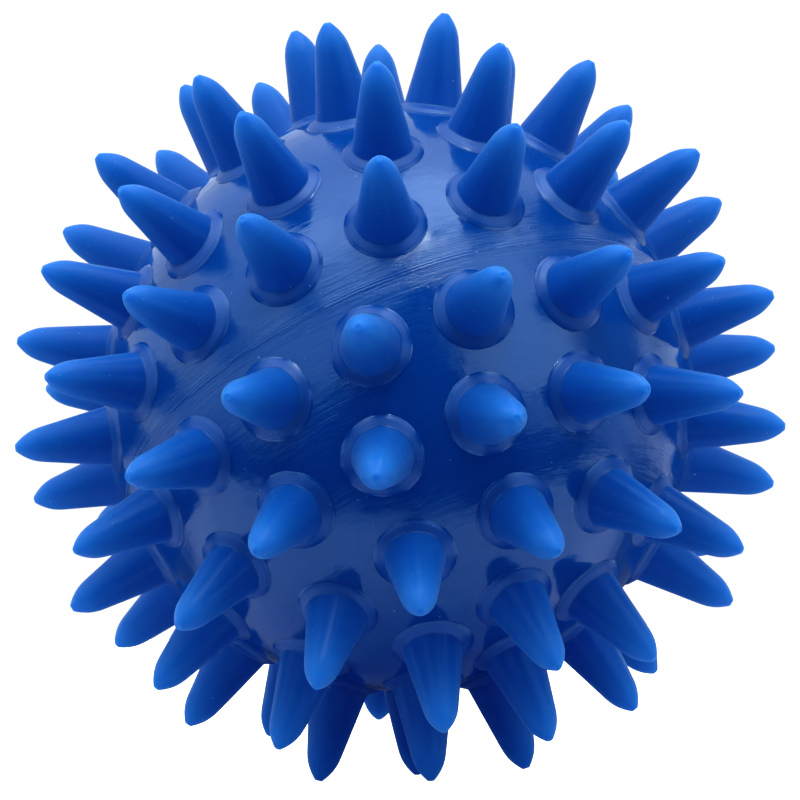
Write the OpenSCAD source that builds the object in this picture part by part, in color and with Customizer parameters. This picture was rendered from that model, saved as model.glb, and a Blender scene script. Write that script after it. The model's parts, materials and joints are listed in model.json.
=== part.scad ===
// Spiky massage ball: one hollow moulded skin with cone spikes standing in rings about
// its seam, a soft sleeve set into its wall and a plug that closes the sleeve.
// The model stands as the ball rests on a table, on three spike tips, with its centre at
// the origin. Millimetres.

/* [Ball] */
// Diameter over the spike tips
ball_span = 75; // [60:1:100]
// Length of a spike, from the ball's round surface to its tip
spike_length = 9.4; // [7:0.1:11]
// Thickness of the moulded wall
wall = 2.5; // [2:0.1:3.5]
// Height of the seam ridge above the round surface
seam_height = 0.16; // [0.1:0.02:0.4]
// Width of the seam ridge
seam_width = 0.7; // [0.4:0.1:1.5]

/* [Spike pattern] */
// Angle between neighbouring spikes of a ring, seen from the ball's centre
spike_pitch = 20.8; // [20:0.1:22]
// Angle of each ring above or below the seam
ring_latitudes = [11.1, 30.4, 50.6, 70.9]; // [5:0.1:80]
// Turn of each ring above the seam
upper_turns = [13.3, 4.2, 18.2, 33.9]; // [0:0.1:60]
// Turn of each ring below the seam
lower_turns = [1.1, 0.9, 16.4, 24.4]; // [0:0.1:60]
// Lean of the seam's axis from upright, as the ball rests
rest_lean = 29; // [0:0.5:90]
// Compass direction the seam's axis leans towards
rest_turn = 135.9; // [0:0.1:359]

/* [Spike shape] */
// Radius of the low skirt around a spike's foot
skirt_r = 3.85; // [3.4:0.05:4.2]
// Step at the skirt's outer edge
skirt_step = 0.12; // [0.08:0.02:0.3]
// Rise of the skirt from its edge to the spike's foot
skirt_rise = 0.62; // [0.4:0.02:0.9]
// Radius of a spike at its foot
foot_r = 2.85; // [2.4:0.05:3.1]
// Radius that the straight cone would have at the tip
cone_tip_r = 1.22; // [1:0.02:1.6]
// Length of the rounded point
point_length = 2.9; // [2:0.1:4]
// Radius of the small flat at the very tip
nub_r = 0.33; // [0.2:0.01:0.5]

/* [Valve] */
// Number of the spike left out for the valve, in the second ring above the seam
valve_place = 13; // [0:1:14]
// Radius of the low rim around the valve
rim_r = 5.0; // [4.6:0.1:5.4]
// Height of that rim
rim_height = 0.7; // [0.5:0.1:1.2]
// Radius of the hole through the skin
port_r = 3.4; // [3.2:0.1:3.8]
// Radius of the thick boss inside the skin
boss_r = 6.2; // [5.5:0.1:7]
// Depth of the boss below the inside of the skin
boss_depth = 3.5; // [2.5:0.1:5]
// Radius of the plug's stem
stem_r = 1.4; // [1.2:0.05:1.6]
// Length of the plug's stem below its head
stem_length = 6.5; // [5:0.1:7]
// Gap all round between the plug and the sleeve
plug_gap = 0.05; // [0.03:0.01:0.1]
// Radius of the plug's head
head_r = 2.5; // [2.3:0.05:2.7]
// Thickness of the plug's head
head_height = 1.1; // [0.9:0.05:1.3]

/* [Hidden] */
tip_r = ball_span / 2;
body_r = tip_r - spike_length;
inner_r = body_r - wall;
ring_count = len(ring_latitudes);
valve_ring = 1;
// the skirt starts just above the round surface, and the solid is carried down into the wall
skirt_z = sqrt(body_r ^ 2 - skirt_r ^ 2) + skirt_step;
buried_z = body_r - wall / 2;
foot_z = skirt_z + skirt_rise;
spike_height = tip_r - foot_z;
// the seam ridge stands on a root sunk a little into the surface, and has a narrow flat top
seam_root_z = body_r - seam_height / 4;
seam_top_width = seam_width / 4;
point_start = 1 - point_length / spike_height;
point_steps = 6;
// facets of the round shapes
spike_facets = 24;
ball_facets = 128;
valve_facets = 48;
// thickness of the sleeve below the end of the stem
sleeve_floor = 1.2;
// heights of the valve along its own axis, from the ball's centre
rim_z = body_r + rim_height;
boss_z = inner_r - boss_depth;
seat_z = rim_z - head_height;
stem_z = seat_z - stem_length;
sleeve_z = stem_z - sleeve_floor;
// a shallow dish in the plug's head, and the ring around it for a fingernail
dish_r = 1.3;
dish_depth = 0.35;
nail_groove = 0.3;
// bevel at the inner end of the sleeve and of the stem
lead_in = 0.5;
// how far a hole's tool reaches past the surface it cuts
overcut = 1;
blue = [0.02, 0.2, 0.72];
deep_blue = [0.02, 0.14, 0.5];
plug_blue = [0.03, 0.24, 0.78];

function spikes_in_ring(ring) = round(360 * cos(ring_latitudes[ring]) / spike_pitch);

// radius of the straight cone, from 0 at its foot to 1 at its tip
function cone_r(along) = foot_r + (cone_tip_r - foot_r) * along;

// the rounded point, which leaves the cone smoothly and closes in to the nub
function point_outline() = [
    for (i = [0 : point_steps])
    let (
        t = i / point_steps,
        along = point_start + (1 - point_start) * t,
        narrowing = (1 - nub_r / cone_tip_r) * t ^ 3
    )
    [cone_r(along) * (1 - narrowing), foot_z + spike_height * along]
];

// leans the seam's axis as it stands when the ball rests
module as_it_rests() {
    rotate([0, rest_lean, rest_turn])
        children();
}

// turns a shape that points up so that it points along one longitude and latitude
module pointing(longitude, latitude) {
    rotate([0, 90 - latitude, longitude])
        children();
}

module at_valve() {
    step = 360 / spikes_in_ring(valve_ring);
    as_it_rests()
        pointing(upper_turns[valve_ring] + valve_place * step, ring_latitudes[valve_ring])
            children();
}

// one solid spike with the skirt around its foot
module spike() {
    rotate_extrude($fn = spike_facets)
        polygon(concat(
            [[0, buried_z], [skirt_r, buried_z], [skirt_r, skirt_z]],
            [[foot_r, foot_z]],
            point_outline(),
            [[0, tip_r]]
        ));
}

// one ring of spikes; left_out is the number of a spike that isn't there
module spike_ring(ring, turn, side, left_out = -1) {
    number = spikes_in_ring(ring);
    for (i = [0 : number - 1])
        if (i != left_out)
            pointing(turn + i * 360 / number, side * ring_latitudes[ring])
                spike();
}

module all_spikes() {
    for (ring = [0 : ring_count - 1]) {
        spike_ring(ring, upper_turns[ring], 1, ring == valve_ring ? valve_place : -1);
        spike_ring(ring, lower_turns[ring], -1);
    }
    for (pole = [-90, 90])
        pointing(0, pole)
            spike();
}

// the fine line that the two halves of the mould leave around the ball
module seam_ridge() {
    rotate_extrude($fn = ball_facets)
        polygon([
            [buried_z, -seam_width / 2],
            [seam_root_z, -seam_width / 2],
            [body_r + seam_height, -seam_top_width / 2],
            [body_r + seam_height, seam_top_width / 2],
            [seam_root_z, seam_width / 2],
            [buried_z, seam_width / 2]
        ]);
}

module skin() {
    color(blue)
        difference() {
            union() {
                difference() {
                    as_it_rests() {
                        sphere(r = body_r, $fn = ball_facets);
                        seam_ridge();
                        all_spikes();
                    }
                    as_it_rests()
                        sphere(r = inner_r, $fn = ball_facets);
                }
                at_valve() {
                    translate([0, 0, buried_z])
                        cylinder(r = rim_r, h = rim_z - buried_z, $fn = valve_facets);
                    translate([0, 0, boss_z])
                        cylinder(r = boss_r, h = buried_z - boss_z, $fn = valve_facets);
                }
            }
            at_valve()
                translate([0, 0, boss_z - overcut])
                    cylinder(r = port_r, h = rim_z - boss_z + 2 * overcut, $fn = valve_facets);
        }
}

// the soft sleeve: a tube closed at its inner end, with a seat for the plug's head
module valve_sleeve() {
    stem_hole_r = stem_r + plug_gap;
    seat_r = head_r + plug_gap;
    color(deep_blue)
        at_valve()
            rotate_extrude($fn = valve_facets)
                polygon([
                    [0, sleeve_z],
                    [port_r - lead_in, sleeve_z],
                    [port_r, sleeve_z + lead_in],
                    [port_r, rim_z],
                    [seat_r, rim_z],
                    [seat_r, seat_z],
                    [stem_hole_r, seat_z],
                    [stem_hole_r, stem_z - plug_gap],
                    [0, stem_z - plug_gap]
                ]);
}

// the plug: a stem with a flat round head that sits flush with the rim
module valve_plug() {
    color(plug_blue)
        at_valve()
            rotate_extrude($fn = valve_facets)
                polygon([
                    [0, stem_z],
                    [stem_r - lead_in, stem_z],
                    [stem_r, stem_z + lead_in],
                    [stem_r, seat_z],
                    [head_r, seat_z],
                    [head_r, rim_z - nail_groove],
                    [head_r - nail_groove, rim_z],
                    [dish_r, rim_z],
                    [dish_r - dish_depth, rim_z - dish_depth],
                    [0, rim_z - dish_depth]
                ]);
}

skin();
valve_sleeve();
valve_plug();
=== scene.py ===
"""The looks of a spiky massage ball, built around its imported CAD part."""

import json
import math
import random

import bpy
import numpy as np
from mathutils import Matrix, Vector
from mathutils.geometry import delaunay_2d_cdt


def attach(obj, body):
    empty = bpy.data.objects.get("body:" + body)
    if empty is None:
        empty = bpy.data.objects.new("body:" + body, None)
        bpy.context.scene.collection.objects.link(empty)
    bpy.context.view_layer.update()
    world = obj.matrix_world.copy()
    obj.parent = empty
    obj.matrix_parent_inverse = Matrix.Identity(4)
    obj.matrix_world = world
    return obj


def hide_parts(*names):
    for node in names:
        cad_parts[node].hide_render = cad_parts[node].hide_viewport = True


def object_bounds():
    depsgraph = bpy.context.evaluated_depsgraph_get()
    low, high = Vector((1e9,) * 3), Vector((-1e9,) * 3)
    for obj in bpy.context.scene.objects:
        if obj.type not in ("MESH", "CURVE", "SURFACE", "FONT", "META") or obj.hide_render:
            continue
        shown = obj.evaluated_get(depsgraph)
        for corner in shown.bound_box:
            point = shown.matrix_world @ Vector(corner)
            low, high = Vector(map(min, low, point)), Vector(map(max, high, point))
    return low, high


MM = 0.001
FULL_TURN = 2 * math.pi

# The ball, in millimetres, with the same names as the CAD part's
SPIKE_LENGTH = 9.4
WALL = 2.5
SEAM_HEIGHT = 0.16
SEAM_WIDTH = 0.7
REST_LEAN = math.radians(29.0)
REST_TURN = math.radians(135.9)
SKIRT_R = 3.85
SKIRT_STEP = 0.12
SKIRT_RISE = 0.62
FOOT_R = 2.85
CONE_TIP_R = 1.22
POINT_LENGTH = 2.9
NUB_R = 0.33
RIM_R = 5.0
RIM_HEIGHT = 0.7
PORT_R = 3.4
BOSS_R = 6.2
BOSS_DEPTH = 3.5
STEM_R = 1.4
STEM_LENGTH = 6.5
PLUG_GAP = 0.05
HEAD_R = 2.5
HEAD_HEIGHT = 1.1
SLEEVE_FLOOR = 1.2
DISH_DEPTH = 0.35
LEAD_IN = 0.5

# How finely the meshes are built: sides of the round shapes, rows of points, and millimetres
# between the points of the round skin
SPIKE_SIDES = 30
VALVE_SIDES = 72
INNER_ROWS = 40
POINT_ROWS = 12
SKIN_SPACING = 0.85
COLLAR_GAP = 0.28

# How uneven the moulded spikes are, in millimetres: how far a tip leans off its line, how far a
# skirt sits off its spike, and how far a skirt's edge wanders in and out. The seed picks the shuffle
SPIKE_BEND = 0.22
SKIRT_SHIFT = 0.16
SKIRT_WANDER = 0.07
SHUFFLE_SEED = 7

# Soft edges, in millimetres
RIM_SOFT = 0.12
SLEEVE_SOFT = 0.1
HEAD_SOFT = 0.08
# rows of the rounded lip of a skirt: how far in from its edge, and how far above its step
LIP_ROWS = [(0.015, -0.048), (0.05, -0.01), (0.13, 0.02)]
# rows of the tiny pit in a spike's tip: part of the tip's radius, and depth
PIT_ROWS = [(0.8, 0.0), (0.6, 0.02)]
PIT_DEPTH = 0.03
# rows of the edge of the plug's head: how far in from its side, and down from its top
HEAD_EDGE_ROWS = [(0.0, 0.3), (0.06, 0.12), (0.2, 0.02), (0.35, 0.0)]
# rows of the dish in the plug's head: radius and depth
DISH_ROWS = [(1.45, 0.0), (1.3, 0.04), (1.1, 0.25), (0.85, DISH_DEPTH)]

# Where the materials change, in millimetres above the round skin: from the first height to the second
SKIRT_STARTS = (0.02, 0.09)
SLOPE_STARTS = (0.06, 0.2)
SPIKE_STARTS = (0.6, 0.75)

# Colours, as red, green, blue and alpha. A pair is the two ends of a cloudy colour
# painted shade: the skin's blues are darker than the spikes' blue, standing for the shade between the
# spikes; the pair gives a cloudy tone
SHADED_CLOUDY_SKIN_BLUES = ((0.001, 0.058, 0.3, 1), (0.002, 0.066, 0.335, 1))
SPIKE_BLUE = (0.006, 0.101, 0.44, 1)
# painted light: the tip's lighter blue stands for light passing through the thin point
LIT_TIP_BLUE = (0.024, 0.19, 0.645, 1)
SPECK_BLUE = (0.4, 0.5, 0.8, 1)
SLEEVE_BLUES = ((0.001, 0.02, 0.16, 1), (0.003, 0.03, 0.22, 1))
PLUG_BLUES = ((0.004, 0.08, 0.5, 1), (0.006, 0.11, 0.6, 1))
HIGHLIGHT_TINT = (0.68, 0.87, 1.0, 1)
SHEEN_TINT = (0.6, 0.8, 1.0, 1)
# how far red, green and blue light travel below the surface, as parts of the scatter depth
SCATTER_COLOUR = (0.2, 0.5, 1.0)
SCATTER_DEPTH = 2.6

# The studio: white to the camera, and bluish in what the ball mirrors
WHITE = (1.0, 1.0, 1.0, 1)
MIRRORED_ROOM_TINT = (0.6, 0.74, 1.0, 1)
# painted light: the floor's bluish tint in the ball's reflections stands for blue light bounced from the
# ball
MIRRORED_FLOOR_TINT = {"Red": 0.6, "Green": 0.7, "Blue": 1.0}
BACKDROP_LIGHT = 1.05

# The soft box above the ball, in metres and watts
LAMP_PLACE = (0.1, -0.5, 0.8)
LAMP_SIZE = 0.2
LAMP_POWER = 1.4

# The camera: a long lens a little below the middle of the ball. Its distance is in millimetres, and
# its clipping distances are in metres
CAMERA_DISTANCE = 417.7
CAMERA_BELOW = math.radians(2.87)
CAMERA_ROLL = math.radians(-1.73)
FIELD_OF_VIEW = math.radians(10.58)
CLIP_NEAR = 0.05
CLIP_FAR = 30.0


# ---------------------------------------------------------------- helpers


def unit(v):
    """The vector, or each row of an array of vectors, at length one."""
    v = np.asarray(v, dtype=float)
    return v / np.linalg.norm(v, axis=-1, keepdims=True)


def basis(direction):
    """Two unit vectors square to the direction and to each other, and the direction."""
    up = unit(direction)
    along_x = abs(up[0]) >= 0.6
    helper = np.array([0.0, 1.0, 0.0]) if along_x else np.array([1.0, 0.0, 0.0])
    side = unit(np.cross(helper, up))
    return side, np.cross(up, side), up


def height_on_ball(radius, ball_r):
    """How far above the ball's centre a circle of this radius lies on the ball."""
    return math.sqrt(ball_r**2 - radius**2)


def circle_angles(sides):
    return np.arange(sides) * FULL_TURN / sides


def ring_points(axes, radius, height, sides):
    """Points of a circle round an axis from the ball's centre."""
    side, other, up = axes
    a = circle_angles(sides)[:, None]
    return radius * (np.cos(a) * side + np.sin(a) * other) + height * up


class SpikeShape:
    """How one spike differs from the next: the lean of its tip and the outline of its skirt."""

    def __init__(self, shuffle):
        self.lean = self.any_way(shuffle, SPIKE_BEND)
        self.shift = self.any_way(shuffle, SKIRT_SHIFT)
        self.lobes = []
        for waves in (2, 3):
            size = SKIRT_WANDER * shuffle.random()
            start = shuffle.uniform(0, FULL_TURN)
            self.lobes.append((waves, size, start))

    def any_way(self, shuffle, most):
        angle = shuffle.uniform(0, FULL_TURN)
        size = most * shuffle.random()
        return size * math.cos(angle), size * math.sin(angle)

    def ring(self, axes, radius, height, body_r, spread=0.0):
        """A circle round the spike. Towards the skirt's edge it takes the skirt's own outline."""
        a = circle_angles(SPIKE_SIDES)
        own = max(0.0, (radius - FOOT_R) / (SKIRT_R - FOOT_R))
        wander = sum(size * np.cos(waves * a + start) for waves, size, start in self.lobes)
        outline = radius + own * wander
        x = outline * np.cos(a) + own * self.shift[0]
        y = outline * np.sin(a) + own * self.shift[1]
        settle = np.sqrt(body_r**2 - x**2 - y**2) - height_on_ball(radius, body_r)
        scale = 1 + spread / radius
        top = height + own * settle
        flat = (x * scale)[:, None] * axes[0] + (y * scale)[:, None] * axes[1]
        return flat + top[:, None] * axes[2]


class MeshParts:
    """Collects vertices, faces and the numbers that the materials read."""

    def __init__(self):
        self.points = []
        self.faces = []
        self.numbers = []
        self.creases = set()
        self.count = 0

    def add(self, points, number=0.0):
        """Adds points, each with the number of the spike it belongs to, and gives their indices."""
        points = np.asarray(points, dtype=float).reshape(-1, 3)
        first = self.count
        self.points.append(points)
        self.numbers.append(np.full(len(points), float(number)))
        self.count += len(points)
        return np.arange(first, self.count)

    def bridge(self, lower, upper):
        """Quads between two rings with the same number of points."""
        n = len(lower)
        for i in range(n):
            j = (i + 1) % n
            self.faces.append((lower[i], lower[j], upper[j], upper[i]))

    def stack(self, lower, rows, make_ring):
        """Rings of points, one for each row of radius and height, bridged from a first ring up."""
        for radius, z in rows:
            upper = make_ring(radius, z)
            self.bridge(lower, upper)
            lower = upper
        return lower

    def crease(self, ring):
        """Marks a ring as a crisp corner."""
        for i, here in enumerate(ring):
            self.creases.add(tuple(sorted((int(here), int(ring[i - 1])))))

    def close(self, ring, tip):
        """Triangles from a ring to one point."""
        n = len(ring)
        for i in range(n):
            self.faces.append((ring[i], ring[(i + 1) % n], tip))

    def build(self, name, mould_axes, body_r):
        points = np.concatenate(self.points)
        mesh = bpy.data.meshes.new(name)
        mesh.from_pydata((points * MM).tolist(), [], [tuple(int(i) for i in f) for f in self.faces])
        mesh.shade_smooth()
        mark_creases(mesh, self.creases)
        mould = points @ np.array(mould_axes).T
        store_numbers(mesh, "height", np.linalg.norm(points, axis=1) - body_r)
        store_numbers(mesh, "spike_number", np.concatenate(self.numbers))
        store_vectors(mesh, "mould_place", mould)
        piece = bpy.data.objects.new(name, mesh)
        bpy.context.scene.collection.objects.link(piece)
        return piece


def mark_creases(mesh, creases):
    ends = np.empty(len(mesh.edges) * 2, np.int32)
    mesh.edges.foreach_get("vertices", ends)
    ends = np.sort(ends.reshape(-1, 2), axis=1)
    crisp = [(int(a), int(b)) in creases for a, b in ends]
    attribute = mesh.attributes.new("sharp_edge", "BOOLEAN", "EDGE")
    attribute.data.foreach_set("value", crisp)


def store_numbers(mesh, name, values):
    attribute = mesh.attributes.new(name, "FLOAT", "POINT")
    attribute.data.foreach_set("value", values.astype(np.float32))


def store_vectors(mesh, name, values):
    attribute = mesh.attributes.new(name, "FLOAT_VECTOR", "POINT")
    attribute.data.foreach_set("vector", values.astype(np.float32).ravel())


# ---------------------------------------------------------------- what the frame gives


def tip_directions(skin):
    """The line of every spike, from the far points of the CAD skin, and the ball's radius over the tips."""
    near_tip = 0.01
    same_spike = math.cos(math.radians(4))
    places = np.empty(len(skin.data.vertices) * 3)
    skin.data.vertices.foreach_get("co", places)
    places = places.reshape(-1, 3) / MM
    reach = np.linalg.norm(places, axis=1)
    # the farthest points lie on the edge of the flat at each tip
    tip_r = math.sqrt(reach.max() ** 2 - NUB_R**2)
    far = unit(places[reach > reach.max() - near_tip])
    groups = []
    for direction in far:
        for group in groups:
            if direction @ group[0] > same_spike:
                group.append(direction)
                break
        else:
            groups.append([direction])
    # points that lie on top of each other count once
    lines = [unit(np.mean(np.unique(np.round(group, 5), axis=0), axis=0)) for group in groups]
    return np.array(lines), tip_r


def mould_frame():
    """Axes of the mould: two in the plane of the seam and the third its axis."""
    up = np.array([
        math.sin(REST_LEAN) * math.cos(REST_TURN),
        math.sin(REST_LEAN) * math.sin(REST_TURN),
        math.cos(REST_LEAN),
    ])
    return basis(up)


# ---------------------------------------------------------------- the skin's mesh


def spike_profile(body_r, tip_r):
    """Radius and height of each row of a spike, from its skirt's edge up to the pit in its tip."""
    slope_rows = [0.2, 0.45, 0.7, 0.88, 0.97]
    flank_rows = [0.01, 0.03, 0.08, 0.2, 0.35, 0.5, 0.62]
    skirt_z = height_on_ball(SKIRT_R, body_r) + SKIRT_STEP
    foot_z = skirt_z + SKIRT_RISE
    spike_height = tip_r - foot_z
    rows = [(SKIRT_R - inward, skirt_z + rise) for inward, rise in LIP_ROWS]
    rows += [(SKIRT_R + (FOOT_R - SKIRT_R) * t, skirt_z + SKIRT_RISE * t) for t in slope_rows]
    point = 1 - POINT_LENGTH / spike_height
    point_rows = [point + (1 - point) * i / POINT_ROWS for i in range(POINT_ROWS + 1)]
    for t in flank_rows + point_rows:
        cone_r = FOOT_R + (CONE_TIP_R - FOOT_R) * t
        narrow = (1 - NUB_R / CONE_TIP_R) * max(0.0, (t - point) / (1 - point)) ** 3
        rows.append((cone_r * (1 - narrow), foot_z + spike_height * t))
    return rows + [(NUB_R * part, tip_r - depth) for part, depth in PIT_ROWS]


def add_spike(parts, foot, direction, number, profile, body_r, tip_r, shape):
    axes = basis(direction)
    lean = shape.lean[0] * axes[0] + shape.lean[1] * axes[1]

    def leaning_ring(radius, z):
        t = max(0.0, (z - body_r - SKIRT_RISE) / (tip_r - body_r))
        return parts.add(shape.ring(axes, radius, z, body_r) + lean * t * t, number)

    last = parts.stack(foot, profile, leaning_ring)
    centre = parts.add(axes[2] * (tip_r - PIT_DEPTH) + lean, number)
    parts.close(last, centre[0])


def spread_points(total):
    """Points spread evenly over the unit ball, along a spiral from pole to pole."""
    i = np.arange(total) + 0.5
    z = 1 - 2 * i / total
    turn = math.pi * (1 + math.sqrt(5)) * i
    flat = np.sqrt(1 - z * z)
    return np.stack([flat * np.cos(turn), flat * np.sin(turn), z], axis=1)


def seam_rows(mould_axes, body_r):
    """Rows of points along the seam, close together so that its ridge is crisp."""
    half = np.array([0.28, 0.6, 1.0, 1.4, 2.2]) * SEAM_WIDTH / 2
    offsets = np.concatenate([-half[::-1], [0.0], half])
    around = int(FULL_TURN * body_r / SKIN_SPACING)
    rows = []
    for k, offset in enumerate(offsets):
        # every second row is half a step further round
        a = (np.arange(around) + 0.5 * (k % 2)) * FULL_TURN / around
        latitude = offset / body_r
        flat = np.cos(a)[:, None] * mould_axes[0] + np.sin(a)[:, None] * mould_axes[1]
        rows.append(flat * math.cos(latitude) + math.sin(latitude) * mould_axes[2])
    return np.concatenate(rows), half[-1]


def seam_lift(latitude_mm):
    """How far the seam's ridge stands out, at a distance from its middle."""
    sharpness = 1.3
    x = np.abs(latitude_mm) / (SEAM_WIDTH / 2)
    return SEAM_HEIGHT * np.clip(1.0 - x, 0.0, 1.0) ** sharpness


def loose_points(rings, collars, mould_axes, body_r):
    """Points on the unit ball: even ones clear of the feet and the seam, the seam's and the collars'."""
    # what each point takes up in a pattern of even triangles
    area_of_point = 0.866 * SKIN_SPACING**2
    clear_of_foot = 0.825 * SKIN_SPACING / body_r
    clear_of_seam = 0.5 * SKIN_SPACING
    seam, seam_reach = seam_rows(mould_axes, body_r)
    even = spread_points(int(4 * math.pi * body_r**2 / area_of_point))
    even = even[np.abs(even @ mould_axes[2]) * body_r > seam_reach + clear_of_seam]
    loose = np.concatenate([even, seam])
    keep = np.ones(len(loose), bool)
    for direction, angle in rings:
        keep &= loose @ direction < math.cos(angle + clear_of_foot)
    return np.concatenate([loose[keep]] + [unit(collar) for collar in collars])


def flattest_triangles(directions, valve_axes):
    """Triangles between points of the ball, found on a plane that the ball is spread out on."""
    side, other, up = valve_axes
    # seen from the valve, the rest of the ball's surface spreads out on a plane
    depth = 1 - directions @ up
    plane = np.stack([directions @ side / depth, directions @ other / depth], axis=1)
    flat = [Vector(p) for p in plane.tolist()]
    whole_hull = 0
    same_point = 1e-9
    _, _, triangles, source, _, _ = delaunay_2d_cdt(flat, [], [], whole_hull, same_point)
    return [tuple(source[i][0] for i in triangle) for triangle in triangles]


def round_surface(parts, feet, rings, collars, mould_axes, valve_axes, body_r):
    """The round surface between the feet. Triangles inside a foot are left out."""
    loose = loose_points(rings, collars, mould_axes, body_r)
    latitude = np.arcsin(loose @ mould_axes[2]) * body_r
    loose_ids = parts.add(loose * (body_r + seam_lift(latitude))[:, None])
    ids = np.concatenate([loose_ids] + feet)
    no_foot = np.full(len(loose_ids), -1)
    owner = np.concatenate([no_foot] + [np.full(len(foot), i) for i, foot in enumerate(feet)])
    directions = unit(np.concatenate(parts.points)[ids])
    for a, b, c in flattest_triangles(directions, valve_axes):
        if owner[a] >= 0 and owner[a] == owner[b] == owner[c]:
            continue
        normal = np.cross(directions[b] - directions[a], directions[c] - directions[a])
        if normal @ directions[a] < 0:
            b, c = c, b
        parts.faces.append((ids[a], ids[b], ids[c]))


def soft_corner(radius, z, soft, outward=1, upward=1):
    """Three rows around a corner, from its upright side to its flat side."""
    cut = 0.3 * soft
    upright = (radius, z - upward * soft)
    middle = (radius - outward * cut, z - upward * cut)
    flat = (radius - outward * soft, z)
    return [upright, middle, flat]


def hole_corner(radius, z, soft):
    """Three rows around the top edge of a hole, from its flat side down into the hole."""
    return soft_corner(radius, z, soft, outward=-1)[::-1]


def add_valve_wall(parts, foot, valve_axes, body_r):
    """The rim, the hole through the skin, the boss inside and the inside of the skin."""
    inner_r = body_r - WALL
    rim_z = body_r + RIM_HEIGHT
    rim_foot_z = height_on_ball(RIM_R, body_r) + RIM_SOFT
    boss_z = inner_r - BOSS_DEPTH
    meet_z = height_on_ball(BOSS_R, inner_r) - RIM_SOFT
    rim_flat = 0.8
    boss_bevel = 0.5
    rows = [(RIM_R, rim_foot_z)] + soft_corner(RIM_R, rim_z, RIM_SOFT)
    rows += [(RIM_R - rim_flat, rim_z)] + hole_corner(PORT_R, rim_z, RIM_SOFT)
    rows += [(PORT_R, boss_z + RIM_SOFT), (PORT_R + RIM_SOFT, boss_z)]
    rows += [(BOSS_R - boss_bevel, boss_z), (BOSS_R, boss_z + boss_bevel), (BOSS_R, meet_z)]
    start = math.asin(BOSS_R / inner_r)
    for i in range(INNER_ROWS):
        angle = start + (math.pi - start) * i / INNER_ROWS
        rows.append((inner_r * math.sin(angle), inner_r * math.cos(angle)))
    last = parts.stack(foot, rows, lambda r, z: parts.add(ring_points(valve_axes, r, z, VALVE_SIDES)))
    far_side = parts.add(-inner_r * valve_axes[2])
    parts.close(last, far_side[0])


def make_skin(lines, tip_r, mould_axes, valve_axes):
    body_r = tip_r - SPIKE_LENGTH
    shuffle = random.Random(SHUFFLE_SEED)
    shapes = [SpikeShape(shuffle) for _ in lines]
    parts = MeshParts()
    feet = []
    rings = []
    collars = []
    edge_z = height_on_ball(SKIRT_R, body_r)
    for number, direction in enumerate(lines):
        axes = basis(direction)
        foot = parts.add(shapes[number].ring(axes, SKIRT_R, edge_z, body_r), number)
        parts.crease(foot)
        feet.append(foot)
        rings.append((direction, math.asin(SKIRT_R / body_r)))
        collars.append(shapes[number].ring(axes, SKIRT_R, edge_z, body_r, COLLAR_GAP))
    rim_z = height_on_ball(RIM_R, body_r)
    rim_foot = parts.add(ring_points(valve_axes, RIM_R, rim_z, VALVE_SIDES))
    parts.crease(rim_foot)
    rings.append((valve_axes[2], math.asin(RIM_R / body_r)))
    collars.append(ring_points(valve_axes, RIM_R + COLLAR_GAP, rim_z, VALVE_SIDES))
    round_surface(parts, feet + [rim_foot], rings, collars, mould_axes, valve_axes, body_r)
    profile = spike_profile(body_r, tip_r)
    for number, direction in enumerate(lines):
        add_spike(parts, feet[number], direction, number, profile, body_r, tip_r, shapes[number])
    add_valve_wall(parts, rim_foot, valve_axes, body_r)
    return parts.build("ball_skin", mould_axes, body_r), body_r


# ---------------------------------------------------------------- the valve's meshes


def valve_heights(body_r):
    """Heights along the valve's axis: the rim, the seat of the plug's head and the end of its stem."""
    rim_z = body_r + RIM_HEIGHT
    seat_z = rim_z - HEAD_HEIGHT
    return rim_z, seat_z, seat_z - STEM_LENGTH


def lathe(name, rows, axes, mould_axes, body_r, bottom, top):
    """A closed turned piece: rows of radius and height, and the heights of its two centres."""
    parts = MeshParts()

    def turned_ring(radius, z):
        return parts.add(ring_points(axes, radius, z, VALVE_SIDES))

    first = turned_ring(*rows[0])
    last = parts.stack(first, rows[1:], turned_ring)
    end = parts.add(axes[2] * top)
    parts.close(last, end[0])
    start = parts.add(axes[2] * bottom)
    parts.close(first[::-1], start[0])
    return parts.build(name, mould_axes, body_r)


def make_sleeve(axes, mould_axes, body_r):
    """A tube closed at its inner end, with a seat for the plug's head."""
    rim_z, seat_z, stem_z = valve_heights(body_r)
    low = stem_z - SLEEVE_FLOOR
    floor_z = stem_z - PLUG_GAP
    hole = STEM_R + PLUG_GAP
    seat = HEAD_R + PLUG_GAP
    rows = soft_corner(PORT_R, low, LEAD_IN, upward=-1)[::-1]
    rows += soft_corner(PORT_R, rim_z, SLEEVE_SOFT) + hole_corner(seat, rim_z, SLEEVE_SOFT)
    rows += [(seat, seat_z), (hole + SLEEVE_SOFT, seat_z), (hole, seat_z - SLEEVE_SOFT), (hole, floor_z)]
    return lathe("sleeve_soft", rows, axes, mould_axes, body_r, low, floor_z)


def make_plug(axes, mould_axes, body_r):
    """A stem with a flat head that has a shallow dish in it."""
    rim_z, seat_z, stem_z = valve_heights(body_r)
    fillet = 0.1
    fillet_drop = 0.02
    rows = soft_corner(STEM_R, stem_z, LEAD_IN, upward=-1)[::-1]
    rows += [(STEM_R, seat_z - fillet_drop), (STEM_R + fillet, seat_z)]
    rows += [(HEAD_R - HEAD_SOFT, seat_z), (HEAD_R, seat_z + HEAD_SOFT)]
    rows += [(HEAD_R - inward, rim_z - down) for inward, down in HEAD_EDGE_ROWS]
    rows += [(radius, rim_z - depth) for radius, depth in DISH_ROWS]
    return lathe("plug_moulded", rows, axes, mould_axes, body_r, stem_z, rim_z - DISH_DEPTH)


# ---------------------------------------------------------------- materials


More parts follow.
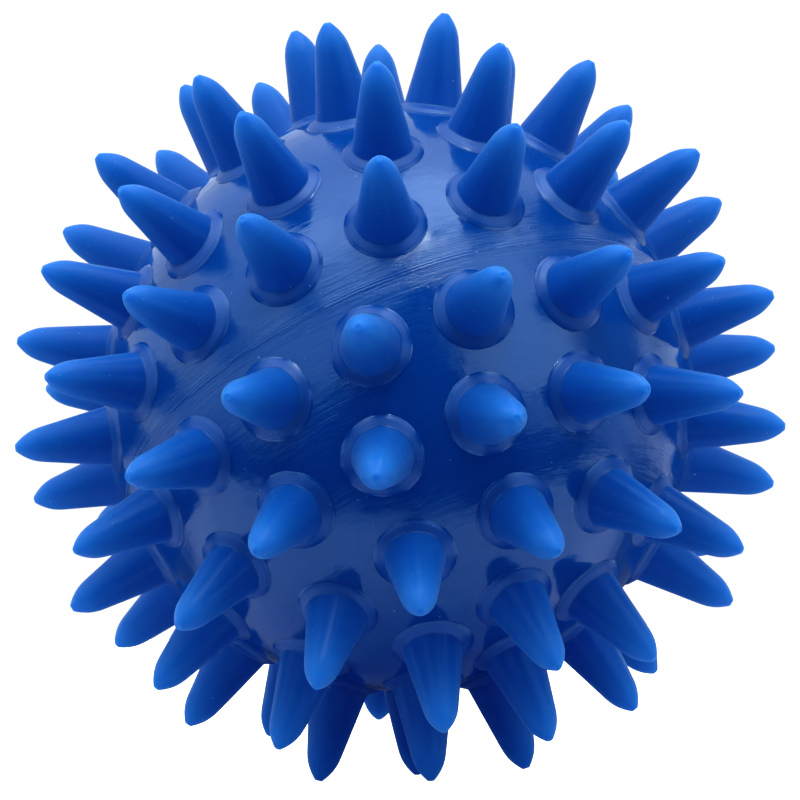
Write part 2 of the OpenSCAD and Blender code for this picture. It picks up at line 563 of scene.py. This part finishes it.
class Nodes:
    """Short names for making and joining shader nodes. Lengths in materials are millimetres."""

    def __init__(self, tree):
        self.tree = tree
        tree.nodes.clear()

    def new(self, kind, **settings):
        node = self.tree.nodes.new(kind)
        for key, value in settings.items():
            setattr(node, key, value)
        return node

    def join(self, source, target):
        self.tree.links.new(source, target)

    def attribute(self, name, output="Fac"):
        return self.new("ShaderNodeAttribute", attribute_name=name).outputs[output]

    def put(self, value, socket):
        if isinstance(value, bpy.types.NodeSocket):
            self.join(value, socket)
        else:
            socket.default_value = value

    def maths(self, operation, a, b=0.0):
        node = self.new("ShaderNodeMath", operation=operation)
        self.put(a, node.inputs[0])
        self.put(b, node.inputs[1])
        return node.outputs[0]

    def add(self, a, b):
        return self.maths("ADD", a, b)

    def subtract(self, a, b):
        return self.maths("SUBTRACT", a, b)

    def multiply(self, a, b):
        return self.maths("MULTIPLY", a, b)

    def larger(self, a, b):
        return self.maths("MAXIMUM", a, b)

    def length(self, a, b):
        """The long side of a right-angled triangle with sides a and b."""
        squares = self.add(self.maths("POWER", a, 2.0), self.maths("POWER", b, 2.0))
        return self.maths("SQRT", squares)

    def separate(self, vector):
        """The X, Y and Z of a vector."""
        node = self.new("ShaderNodeSeparateXYZ")
        self.join(vector, node.inputs[0])
        return node.outputs["X"], node.outputs["Y"], node.outputs["Z"]

    def remap(self, value, low, high, to_low=0.0, to_high=1.0, smooth=True):
        """Turns low into to_low and high into to_high, with a ramp between them, and holds both ends."""
        node = self.new("ShaderNodeMapRange")
        if smooth:
            node.interpolation_type = "SMOOTHSTEP"
        self.put(value, node.inputs["Value"])
        node.inputs["From Min"].default_value = low
        node.inputs["From Max"].default_value = high
        self.put(to_low, node.inputs["To Min"])
        self.put(to_high, node.inputs["To Max"])
        return node.outputs["Result"]

    def stretch(self, vector, along, across):
        """Squeezes a pattern across the seam, so that it runs along it."""
        node = self.new("ShaderNodeMapping")
        self.join(vector, node.inputs["Vector"])
        node.inputs["Scale"].default_value = (along, along, across)
        return node.outputs["Vector"]

    def noise(self, vector, scale=1.0, detail=3.0, rough=0.5):
        """Noise. On a place in millimetres, scale is about how many of its waves fit in one."""
        node = self.new("ShaderNodeTexNoise")
        self.join(vector, node.inputs["Vector"])
        node.inputs["Scale"].default_value = scale
        node.inputs["Detail"].default_value = detail
        node.inputs["Roughness"].default_value = rough
        return node.outputs["Fac"]

    def mix(self, factor, a, b):
        """Colour a where the factor is 0 and b where it is 1."""
        node = self.new("ShaderNodeMix", data_type="RGBA")
        self.put(factor, node.inputs["Factor"])
        self.put(a, node.inputs["A"])
        self.put(b, node.inputs["B"])
        return node.outputs["Result"]

    def blend(self, factor, a, b):
        """Number a where the factor is 0 and b where it is 1."""
        node = self.new("ShaderNodeMix", data_type="FLOAT")
        self.put(factor, node.inputs["Factor"])
        self.put(a, node.inputs["A"])
        self.put(b, node.inputs["B"])
        return node.outputs["Result"]

    def bump(self, height, depth, before=None):
        node = self.new("ShaderNodeBump")
        node.inputs["Distance"].default_value = depth * MM
        self.join(height, node.inputs["Height"])
        if before is not None:
            self.join(before, node.inputs["Normal"])
        return node.outputs["Normal"]


def new_material(name):
    material = bpy.data.materials.new(name)
    material.use_nodes = True
    return material, Nodes(material.node_tree)


def finish_surface(n, colour, roughness, normal, soft, shine=0.5):
    """The plastic that all three pieces share. Soft is how much light scatters below the surface."""
    shader = n.new("ShaderNodeBsdfPrincipled")
    n.put(shine, shader.inputs["Specular IOR Level"])
    n.put(colour, shader.inputs["Base Color"])
    n.put(roughness, shader.inputs["Roughness"])
    n.join(normal, shader.inputs["Normal"])
    shader.inputs["IOR"].default_value = 1.5
    shader.inputs["Specular Tint"].default_value = HIGHLIGHT_TINT
    n.put(soft, shader.inputs["Subsurface Weight"])
    shader.inputs["Subsurface Radius"].default_value = SCATTER_COLOUR
    shader.inputs["Subsurface Scale"].default_value = SCATTER_DEPTH * MM
    output = n.new("ShaderNodeOutputMaterial")
    n.join(shader.outputs["BSDF"], output.inputs["Surface"])
    return shader


def skin_colour(n, place, height, on_spike):
    """Cloudy and darker on the skin, as painted shade between the spikes; lighter up a spike's thin point,
    as painted light where light passes through; with pale specks.
    """
    tip_sharpness = 1.6
    speck_strength = 0.7
    # painted shade: the skin is darker than the spikes, with a cloudy tone
    skin = n.mix(n.noise(place, scale=0.12, detail=2.0), *SHADED_CLOUDY_SKIN_BLUES)
    up_spike = n.remap(height, 3.0, SPIKE_LENGTH, smooth=False)
    # painted light: the spike's blue lightens up towards its thin point
    spike = n.mix(n.maths("POWER", up_spike, tip_sharpness), SPIKE_BLUE, LIT_TIP_BLUE)
    specks = n.remap(n.noise(place, scale=3.4, detail=1.0), 0.792, 0.815)
    return n.mix(n.multiply(specks, speck_strength), n.mix(on_spike, skin, spike), SPECK_BLUE)


def skin_roughness(n, place, on_slope, on_spike):
    """Smooth on the skin, satin on the spikes and in between on the skirts."""
    skirt_rough = 0.38
    smudge = n.noise(place, scale=0.35, detail=4.0, rough=0.6)
    skin_rough = n.remap(smudge, 0.35, 0.7, 0.04, 0.08)
    grain = n.noise(place, scale=1.5, detail=4.0, rough=0.7)
    spike_rough = n.remap(grain, 0.3, 0.7, 0.42, 0.55)
    return n.blend(on_spike, n.blend(on_slope, skin_rough, skirt_rough), spike_rough)


def skin_relief(n, place, height, on_skirt, on_spike):
    """Slow waves and brushed lines on the skin, turning rings and a fine grain on the spikes."""
    normal = n.bump(n.noise(place, scale=0.22, detail=2.0), depth=0.15)

    # the lines fade where the skin is seen at a slant
    slant = n.new("ShaderNodeLayerWeight").outputs["Facing"]
    bare = n.multiply(n.subtract(1.0, on_skirt), n.remap(slant, 0.6, 0.9, 1.0, 0.0))
    ripples = n.noise(n.stretch(place, along=0.45, across=1.4), rough=0.6)
    normal = n.bump(n.multiply(ripples, bare), 0.035, normal)

    # the lines are deepest close to the seam, and elsewhere come in patches
    from_seam = n.maths("ABSOLUTE", n.separate(place)[2])
    near_seam = n.remap(from_seam, 3.2, 0.6)
    patches = n.remap(n.noise(place, scale=0.16, detail=2.0), 0.4, 0.62, 0.12, 0.4)
    lines = n.noise(n.stretch(place, along=0.25, across=3.6), detail=5.0, rough=0.65)
    brush_lines = n.multiply(n.multiply(lines, n.larger(near_seam, patches)), bare)
    normal = n.bump(brush_lines, 0.09, normal)

    # each spike takes its own stretch of the noise
    stretch_apart = 7.3
    ring_place = n.new("ShaderNodeCombineXYZ")
    n.join(height, ring_place.inputs["X"])
    n.join(n.multiply(n.attribute("spike_number"), stretch_apart), ring_place.inputs["Y"])
    turning = n.noise(ring_place.outputs[0], scale=3.0, detail=4.0, rough=0.6)
    normal = n.bump(n.multiply(turning, on_spike), 0.012, normal)
    fine = n.noise(place, scale=9.0, rough=0.6)
    return n.bump(n.multiply(fine, on_spike), 0.006, normal)


def skin_material():
    """Glossy between the spikes and satin on them, with a soft coat and a little sheen."""
    material, n = new_material("blue_soft_plastic")
    height = n.attribute("height")
    place = n.attribute("mould_place", "Vector")
    on_skirt = n.remap(height, *SKIRT_STARTS)
    on_slope = n.remap(height, *SLOPE_STARTS)
    on_spike = n.remap(height, *SPIKE_STARTS)
    colour = skin_colour(n, place, height, on_spike)
    roughness = skin_roughness(n, place, on_slope, on_spike)
    normal = skin_relief(n, place, height, on_skirt, on_spike)
    skin_shine = 0.5
    skirt_shine = 0.52
    spike_shine = 0.1
    shine = n.blend(on_spike, n.blend(on_slope, skin_shine, skirt_shine), spike_shine)
    skin_soft = 0.15
    spike_soft = 0.7
    soft = n.blend(on_spike, skin_soft, spike_soft)
    shader = finish_surface(n, colour, roughness, normal, soft, shine)
    coat = 0.22
    sheen = 0.12
    n.join(n.multiply(on_spike, coat), shader.inputs["Coat Weight"])
    shader.inputs["Coat IOR"].default_value = 1.35
    shader.inputs["Coat Roughness"].default_value = 0.27
    n.join(n.multiply(on_spike, sheen), shader.inputs["Sheen Weight"])
    shader.inputs["Sheen Roughness"].default_value = 0.4
    shader.inputs["Sheen Tint"].default_value = SHEEN_TINT
    return material


def valve_material(name, blues, smoothest, roughest, grain_scale):
    """Plastic with a cloudy colour and a fine grain."""
    material, n = new_material(name)
    place = n.attribute("mould_place", "Vector")
    colour = n.mix(n.noise(place, scale=0.8), *blues)
    grain = n.noise(place, grain_scale, detail=4.0, rough=0.6)
    roughness = n.remap(grain, 0.3, 0.7, smoothest, roughest)
    normal = n.bump(grain, depth=0.012)
    finish_surface(n, colour, roughness, normal, soft=0.1)
    return material


def dress(piece, material):
    piece.data.materials.clear()
    piece.data.materials.append(material)


def stand_in(piece, body, node, material):
    """A dressed piece that rides on a body in the place of a CAD node."""
    dress(piece, material)
    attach(piece, body)
    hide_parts(node)


# ---------------------------------------------------------------- studio


def mirrored_floor(n, x, y):
    """How bright the ball mirrors the floor: bright just under its front and far out at the sides.
    Lengths here are metres."""
    patch_width = 0.15
    patch_length = 0.058
    patch_back = 0.01
    darkest = 0.02
    forward = n.maths("MINIMUM", n.subtract(y, patch_back), 0.0)
    reach = n.length(n.maths("DIVIDE", x, patch_width), n.maths("DIVIDE", forward, patch_length))
    patch = n.remap(y, -0.005, 0.025, 1.6, 0.12)
    near = n.remap(reach, 0.82, 1.12, patch, darkest)
    distance = n.length(x, y)
    aside = n.maths("DIVIDE", n.maths("ABSOLUTE", x), distance)
    far = n.multiply(n.remap(distance, 0.09, 0.22), n.remap(aside, 0.45, 0.8))
    return n.larger(near, far)


def floor_material():
    """White paper to the camera. Its light on the ball is dimmer in front, where the room shades it."""
    seen = 0.9
    bounced_glow = 0.1
    material, n = new_material("studio_paper")
    ray = n.new("ShaderNodeLightPath").outputs
    x, y, _ = n.separate(n.new("ShaderNodeNewGeometry").outputs["Position"])
    lit = n.remap(y, -0.06, 0.02, 0.36, 0.85)
    shade = n.blend(ray["Is Glossy Ray"], lit, mirrored_floor(n, x, y))
    shade = n.blend(ray["Is Camera Ray"], shade, seen)
    colour = n.new("ShaderNodeCombineColor")
    # painted light: in the ball's reflections the floor is tinted blue, for light bounced from the ball
    for channel, part in MIRRORED_FLOOR_TINT.items():
        tint = n.blend(ray["Is Glossy Ray"], 1.0, part)
        n.join(n.multiply(shade, tint), colour.inputs[channel])
    paper = n.new("ShaderNodeBsdfDiffuse")
    n.join(colour.outputs[0], paper.inputs["Color"])
    glow = n.new("ShaderNodeEmission")
    bounced = n.blend(ray["Is Glossy Ray"], bounced_glow, 0.0)
    n.join(n.blend(ray["Is Camera Ray"], bounced, BACKDROP_LIGHT), glow.inputs["Strength"])
    both = n.new("ShaderNodeAddShader")
    n.join(paper.outputs[0], both.inputs[0])
    n.join(glow.outputs[0], both.inputs[1])
    output = n.new("ShaderNodeOutputMaterial")
    n.join(both.outputs[0], output.inputs["Surface"])
    return material


def make_floor(height):
    size = 4.0
    mesh = bpy.data.meshes.new("studio_floor")
    corners = [(x * size, y * size, height) for x, y in ((-1, -1), (1, -1), (1, 1), (-1, 1))]
    mesh.from_pydata(corners, [], [(0, 1, 2, 3)])
    floor = bpy.data.objects.new("studio_floor", mesh)
    bpy.context.scene.collection.objects.link(floor)
    dress(floor, floor_material())


def tent_cloth(n, x, y, z):
    """1 on the tent's cloth, 0 in its opening in front, between two slanting curtains."""
    left_slant = 1.36
    right_slant = 2.9
    left_curtain = n.remap(n.subtract(z, n.multiply(x, left_slant)), 0.5, 0.62)
    right_curtain = n.remap(n.add(z, n.multiply(x, right_slant)), 1.2, 1.35)
    behind = n.remap(y, -0.2, 0.0)
    return n.larger(n.larger(left_curtain, right_curtain), behind)


def falling_light(n, wall, cloth, y, z):
    """The light that falls on the ball, which comes mostly from overhead and in front."""
    overhead_light = 2.5
    opening_light = 0.01
    cloth_light = 0.63
    in_front = n.subtract(1.0, n.remap(y, -0.15, 0.75))
    overhead = n.multiply(n.remap(z, 0.2, 0.9), in_front)
    room = n.add(wall, n.multiply(overhead, overhead_light))
    return n.multiply(room, n.remap(cloth, 0.0, 1.0, opening_light, cloth_light, smooth=False))


def mirrored_lamps(n, sight, x, y, z):
    """Lights in the ball's reflections: a ceiling with a lamp, a window to the right, a lamp to the left."""
    lamp_light = 1.5
    left_lamp_direction = (-0.46, -0.38, 0.8)
    lamp = n.multiply(n.remap(z, 0.86, 0.93), n.remap(x, -0.12, 0.15))
    ceiling = n.add(n.remap(z, 0.65, 0.98), n.multiply(lamp, lamp_light))
    ceiling = n.multiply(ceiling, n.remap(y, -0.1, 0.3, 1.0, 0.25))
    window = n.multiply(n.remap(x, 0.4, 0.62), n.remap(y, -0.15, 0.05, 0.5, 0.0))
    towards = n.new("ShaderNodeVectorMath", operation="DOT_PRODUCT")
    n.join(sight, towards.inputs[0])
    towards.inputs[1].default_value = left_lamp_direction
    left_lamp = n.remap(towards.outputs["Value"], 0.95, 0.99)
    return n.add(ceiling, n.add(window, left_lamp))


def mirrored_room(n, wall, cloth, lamps, x, y, z):
    """What the ball mirrors: wall, ceiling and lamps, less the opening and a dim gap on the right."""
    gap_front = 0.27
    gap_back = 0.42
    opening_light = 0.02
    gap_start = n.remap(n.add(y, n.multiply(x, gap_front)), -0.05, 0.08)
    gap_end = n.remap(n.subtract(y, n.multiply(x, gap_back)), -0.05, 0.05, 1.0, 0.0)
    gap = n.multiply(n.multiply(gap_start, gap_end), n.remap(z, 0.75, 0.85, 0.8, 0.0))
    panels = n.multiply(cloth, n.subtract(1.0, gap))
    covered = n.remap(panels, 0.0, 1.0, opening_light, 1.0, smooth=False)
    room = n.multiply(n.add(wall, lamps), covered)
    return n.multiply(room, n.remap(y, -0.1, 0.9, 2.15, 1.2))


def light_the_room():
    """A pale tent with a dark opening in front for the camera, plain white where the camera sees it."""
    world = bpy.data.worlds.new("studio_tent")
    world.use_nodes = True
    bpy.context.scene.world = world
    n = Nodes(world.node_tree)
    sight = n.new("ShaderNodeTexCoord").outputs["Generated"]
    x, y, z = n.separate(sight)
    wall = n.remap(z, -0.3, 0.3, 0.7, 1.0)
    cloth = tent_cloth(n, x, y, z)
    falling = falling_light(n, wall, cloth, y, z)
    mirrored = mirrored_room(n, wall, cloth, mirrored_lamps(n, sight, x, y, z), x, y, z)
    ray = n.new("ShaderNodeLightPath").outputs
    strength = n.blend(ray["Is Glossy Ray"], falling, mirrored)
    background = n.new("ShaderNodeBackground")
    n.join(n.mix(ray["Is Glossy Ray"], WHITE, MIRRORED_ROOM_TINT), background.inputs["Color"])
    n.join(n.blend(ray["Is Camera Ray"], strength, BACKDROP_LIGHT), background.inputs["Strength"])
    output = n.new("ShaderNodeOutputWorld")
    n.join(background.outputs[0], output.inputs["Surface"])


def add_top_light():
    """A wide soft box above and in front, which the ball doesn't mirror."""
    lamp = bpy.data.lights.new("soft_box", "AREA")
    lamp.shape = "DISK"
    lamp.size = LAMP_SIZE
    lamp.energy = LAMP_POWER
    lamp.specular_factor = 0.0
    box = bpy.data.objects.new("soft_box", lamp)
    bpy.context.scene.collection.objects.link(box)
    box.location = LAMP_PLACE
    box.rotation_euler = (-box.location).to_track_quat("-Z", "Y").to_euler()


def grade_picture():
    """The contrast of a camera: shadows a little deeper, which also makes the blue richer."""
    toe = 0.035
    all_colours = 3
    settings = bpy.context.scene.view_settings
    settings.view_transform = "Standard"
    settings.use_curve_mapping = True
    curve = settings.curve_mapping.curves[all_colours]
    for light in (0.02, 0.05, 0.1, 0.2, 0.5):
        curve.points.new(light, light**2 / (light + toe) * (1 + toe))
    settings.curve_mapping.update()


def add_camera():
    data = bpy.data.cameras.new("camera")
    data.angle = FIELD_OF_VIEW
    data.clip_start = CLIP_NEAR
    data.clip_end = CLIP_FAR
    camera = bpy.data.objects.new("camera", data)
    bpy.context.scene.collection.objects.link(camera)
    back = Vector((0, -math.cos(CAMERA_BELOW), -math.sin(CAMERA_BELOW)))
    look = (-back).to_track_quat("-Z", "Y").to_matrix()
    roll = Matrix.Rotation(CAMERA_ROLL, 3, back)
    camera.matrix_world = Matrix.Translation(back * CAMERA_DISTANCE * MM) @ (roll @ look).to_4x4()
    bpy.context.scene.camera = camera


# ---------------------------------------------------------------- the scene


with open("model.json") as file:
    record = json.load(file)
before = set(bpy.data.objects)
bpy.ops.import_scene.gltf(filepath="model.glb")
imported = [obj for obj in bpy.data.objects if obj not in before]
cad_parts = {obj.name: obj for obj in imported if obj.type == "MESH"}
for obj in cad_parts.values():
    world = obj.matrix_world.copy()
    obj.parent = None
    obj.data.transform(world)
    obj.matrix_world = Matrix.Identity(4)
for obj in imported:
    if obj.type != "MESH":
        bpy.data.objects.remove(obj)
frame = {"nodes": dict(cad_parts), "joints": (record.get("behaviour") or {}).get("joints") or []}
cad_bounds = [list(corner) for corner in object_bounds()]
grade_picture()

mould_axes = mould_frame()
valve_axes = basis(frame["joints"][0]["axis"])
spike_lines, tip_radius = tip_directions(frame["nodes"]["skin"])
ball_skin, body_radius = make_skin(spike_lines, tip_radius, mould_axes, valve_axes)
stand_in(ball_skin, "ball", "skin", skin_material())

sleeve = make_sleeve(valve_axes, mould_axes, body_radius)
rubber = valve_material("sleeve_rubber", SLEEVE_BLUES, smoothest=0.45, roughest=0.62, grain_scale=2.5)
stand_in(sleeve, "ball", "valve_sleeve", rubber)

plug = make_plug(valve_axes, mould_axes, body_radius)
moulded = valve_material("plug_plastic", PLUG_BLUES, smoothest=0.3, roughest=0.42, grain_scale=5.0)
stand_in(plug, "plug", "valve_plug", moulded)

make_floor(cad_bounds[0][2])
light_the_room()
add_top_light()
add_camera()
